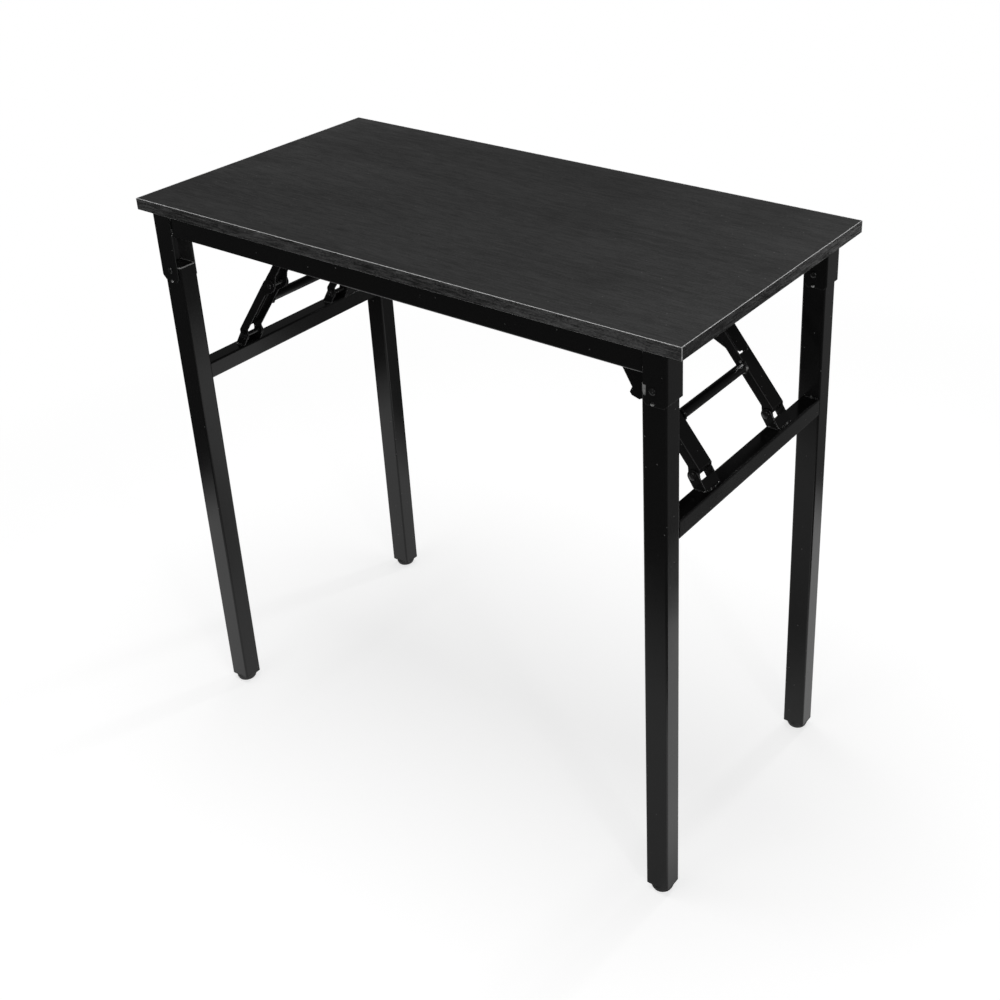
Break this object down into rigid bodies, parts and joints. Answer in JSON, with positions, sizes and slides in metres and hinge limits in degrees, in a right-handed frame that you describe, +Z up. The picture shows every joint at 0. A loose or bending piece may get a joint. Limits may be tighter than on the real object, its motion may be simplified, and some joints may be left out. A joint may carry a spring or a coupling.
{
  "type": "folding desk",
  "caption": "Folding desk: dark laminate board on a black steel frame, leg sets that fold flat beneath it on knee braces, and screw feet.",
  "frame": {"origin": "floor level under the middle of the board", "axes": "+X along the long side, the end whose legs fold first at +X; the front edge is at -Y; +Z up"},
  "size_m": [0.8, 0.4, 0.75],
  "materials": {
    "laminate": "fine-grained matt laminate on particle board",
    "edge_banding": "grained edge strip",
    "coated_steel": "satin black powder coat",
    "plated_steel": "zinc plated",
    "black_plastic": "moulded"
  },
  "bodies": {
    "top_frame": {"desktop_board": "laminate", "edge_band_front": "edge_banding", "edge_band_left": "edge_banding", "edge_band_rear": "edge_banding", "edge_band_right": "edge_banding", "front_left_corner_bracket": "coated_steel", "front_left_leg_pivot_rivet": "plated_steel", "front_left_top_hinge": "coated_steel", "front_rail": "coated_steel", "front_right_corner_bracket": "coated_steel", "front_right_leg_pivot_rivet": "plated_steel", "front_right_top_hinge": "coated_steel", "left_cross_member": "coated_steel", "left_top_hinge_rod": "plated_steel", "rear_left_corner_bracket": "coated_steel", "rear_left_leg_pivot_rivet": "plated_steel", "rear_left_top_hinge": "coated_steel", "rear_rail": "coated_steel", "rear_right_corner_bracket": "coated_steel", "rear_right_leg_pivot_rivet": "plated_steel", "rear_right_top_hinge": "coated_steel", "right_cross_member": "coated_steel", "right_top_hinge_rod": "plated_steel"},
    "left_leg_set": {"front_left_brace_saddle": "coated_steel", "front_left_end_plug": "black_plastic", "front_left_leg": "coated_steel", "front_left_saddle_pin": "plated_steel", "left_crossbar": "coated_steel", "rear_left_brace_saddle": "coated_steel", "rear_left_end_plug": "black_plastic", "rear_left_leg": "coated_steel", "rear_left_saddle_pin": "plated_steel"},
    "left_lower_braces": {"front_left_lower_brace": "coated_steel", "left_pull_bar": "coated_steel", "rear_left_lower_brace": "coated_steel"},
    "left_upper_braces": {"front_left_knee_bush": "plated_steel", "front_left_upper_brace": "coated_steel", "rear_left_knee_bush": "plated_steel", "rear_left_upper_brace": "coated_steel"},
    "right_leg_set": {"front_right_brace_saddle": "coated_steel", "front_right_end_plug": "black_plastic", "front_right_leg": "coated_steel", "front_right_saddle_pin": "plated_steel", "rear_right_brace_saddle": "coated_steel", "rear_right_end_plug": "black_plastic", "rear_right_leg": "coated_steel", "rear_right_saddle_pin": "plated_steel", "right_crossbar": "coated_steel"},
    "right_lower_braces": {"front_right_lower_brace": "coated_steel", "rear_right_lower_brace": "coated_steel", "right_pull_bar": "coated_steel"},
    "right_upper_braces": {"front_right_knee_bush": "plated_steel", "front_right_upper_brace": "coated_steel", "rear_right_knee_bush": "plated_steel", "rear_right_upper_brace": "coated_steel"},
    "front_left_foot": {"front_left_glide": "black_plastic"},
    "front_right_foot": {"front_right_glide": "black_plastic"},
    "rear_left_foot": {"rear_left_glide": "black_plastic"},
    "rear_right_foot": {"rear_right_glide": "black_plastic"}
  },
  "joints": [
    {"name": "right_leg_fold", "type": "hinge", "parent": "top_frame", "child": "right_leg_set", "pos_m": [0.36, 0, 0.687], "axis": [0, 1, 0], "range_deg": [0, 90]},
    {"name": "right_lower_brace_swing", "type": "hinge", "parent": "right_leg_set", "child": "right_lower_braces", "pos_m": [0.352, 0, 0.5385], "axis": [0, 1, 0], "range_deg": [0, 35.24]},
    {"name": "right_upper_brace_swing", "type": "hinge", "parent": "top_frame", "child": "right_upper_braces", "pos_m": [0.212, 0, 0.714], "axis": [0, -1, 0], "range_deg": [0, 45.07]},
    {"name": "left_leg_fold", "type": "hinge", "parent": "top_frame", "child": "left_leg_set", "pos_m": [-0.368, 0, 0.656], "axis": [0, -1, 0], "range_deg": [0, 90]},
    {"name": "left_lower_brace_swing", "type": "hinge", "parent": "left_leg_set", "child": "left_lower_braces", "pos_m": [-0.36, 0, 0.528], "axis": [0, -1, 0], "range_deg": [0, 15.24]},
    {"name": "left_upper_brace_swing", "type": "hinge", "parent": "top_frame", "child": "left_upper_braces", "pos_m": [-0.233, 0, 0.703], "axis": [0, 1, 0], "range_deg": [0, 53.66]},
    {"name": "front_left_foot_height", "type": "slide", "parent": "left_leg_set", "child": "front_left_foot", "axis": [0, 0, -1], "range_m": [0, 0.008]},
    {"name": "front_right_foot_height", "type": "slide", "parent": "right_leg_set", "child": "front_right_foot", "axis": [0, 0, -1], "range_m": [0, 0.008]},
    {"name": "rear_left_foot_height", "type": "slide", "parent": "left_leg_set", "child": "rear_left_foot", "axis": [0, 0, -1], "range_m": [0, 0.008]},
    {"name": "rear_right_foot_height", "type": "slide", "parent": "right_leg_set", "child": "rear_right_foot", "axis": [0, 0, -1], "range_m": [0, 0.008]}
  ],
  "couplings": [
    {"joint": "right_lower_brace_swing", "follows": "right_leg_fold", "ratio": 0.39145},
    {"joint": "right_upper_brace_swing", "follows": "right_leg_fold", "ratio": 0.50062},
    {"joint": "left_lower_brace_swing", "follows": "left_leg_fold", "ratio": 0.16927},
    {"joint": "left_upper_brace_swing", "follows": "left_leg_fold", "ratio": 0.59608}
  ]
}
